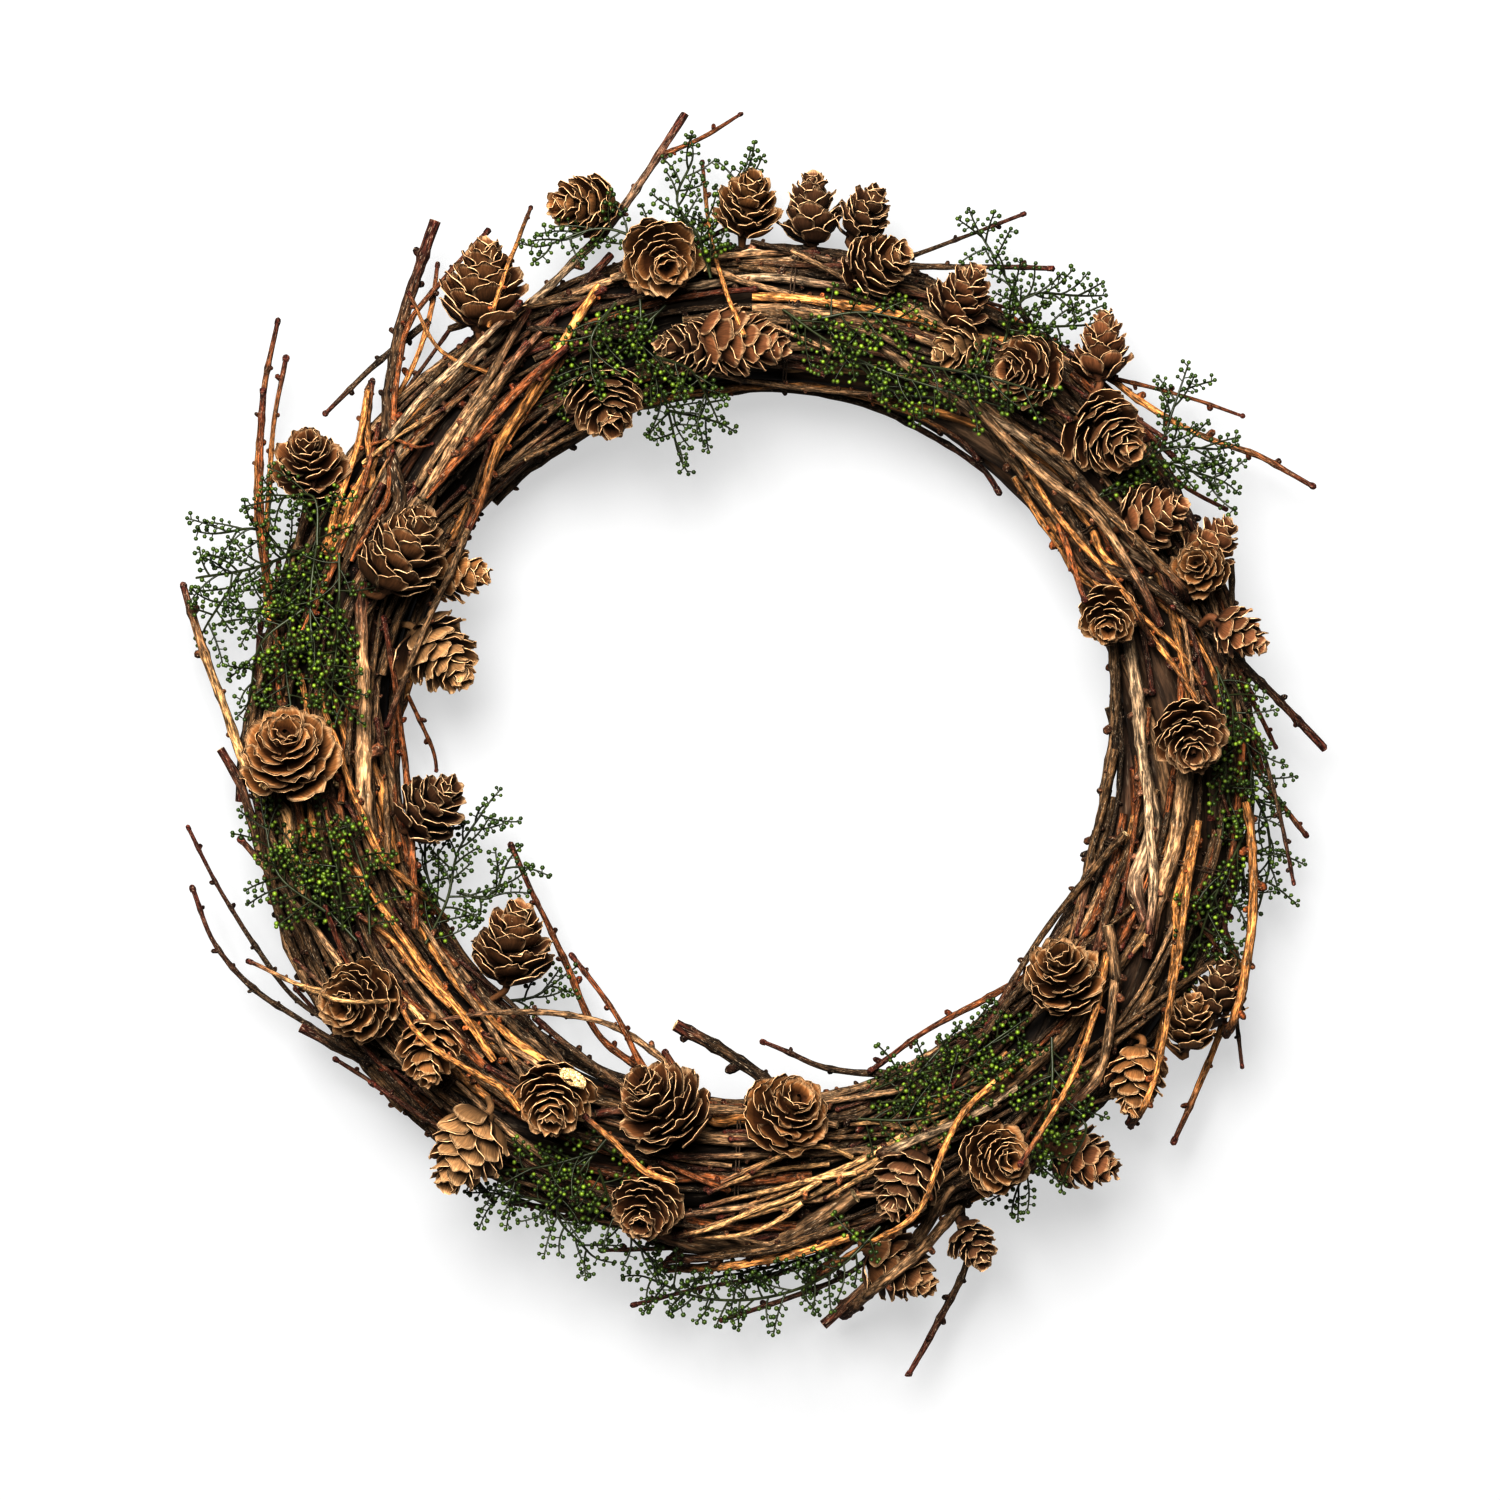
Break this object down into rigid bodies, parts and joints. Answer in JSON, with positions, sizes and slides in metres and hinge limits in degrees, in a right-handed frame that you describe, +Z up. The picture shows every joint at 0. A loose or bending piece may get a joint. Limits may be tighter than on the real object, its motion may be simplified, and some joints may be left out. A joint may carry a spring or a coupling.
{
  "type": "wreath",
  "caption": "Round wreath of thin twigs, larch cones and small-berried greenery, bound to a hoop of twisted stems; it lies flat and has an open middle.",
  "frame": {"origin": "middle of the footprint, on the surface that the wreath lies on", "axes": "+Z up, out of the wreath's face; +Y towards the top of the wreath as it is seen; +X to its right"},
  "size_m": [0.3004, 0.331, 0.0626],
  "materials": {
    "hoop_bark": "matt bark",
    "twig_bark": "matt bark",
    "cone_scale": "dry matt scales",
    "spray_green": "satin green berries and stems"
  },
  "bodies": {
    "root": {"cone_01": "cone_scale", "cone_02": "cone_scale", "cone_03": "cone_scale", "cone_04": "cone_scale", "cone_05": "cone_scale", "cone_07": "cone_scale", "cone_09": "cone_scale", "cone_11": "cone_scale", "cone_12": "cone_scale", "cone_13": "cone_scale", "cone_14": "cone_scale", "cone_16": "cone_scale", "cone_17": "cone_scale", "cone_18": "cone_scale", "cone_19": "cone_scale", "cone_21": "cone_scale", "cone_22": "cone_scale", "cone_23": "cone_scale", "cone_24": "cone_scale", "cone_26": "cone_scale", "cone_27": "cone_scale", "cone_28": "cone_scale", "cone_29": "cone_scale", "cone_30": "cone_scale", "cone_31": "cone_scale", "cone_32": "cone_scale", "cone_33": "cone_scale", "cone_34": "cone_scale", "cone_35": "cone_scale", "cone_36": "cone_scale", "cone_pair_06": "cone_scale", "cone_pair_08": "cone_scale", "cone_pair_10": "cone_scale", "cone_pair_15": "cone_scale", "cone_pair_20": "cone_scale", "cone_pair_25": "cone_scale", "cone_pair_37": "cone_scale", "hoop": "hoop_bark", "spray_01": "spray_green", "spray_02": "spray_green", "spray_03": "spray_green", "spray_04": "spray_green", "spray_05": "spray_green", "spray_06": "spray_green", "spray_07": "spray_green", "spray_08": "spray_green", "spray_09": "spray_green", "spray_10": "spray_green", "spray_11": "spray_green", "spray_12": "spray_green", "spray_13": "spray_green", "spray_14": "spray_green", "twig_bundle_1": "twig_bark", "twig_bundle_2": "twig_bark", "twig_bundle_3": "twig_bark", "twig_bundle_4": "twig_bark", "twig_bundle_5": "twig_bark", "twig_bundle_6": "twig_bark", "twig_bundle_7": "twig_bark", "twig_bundle_8": "twig_bark"}
  },
  "joints": []
}
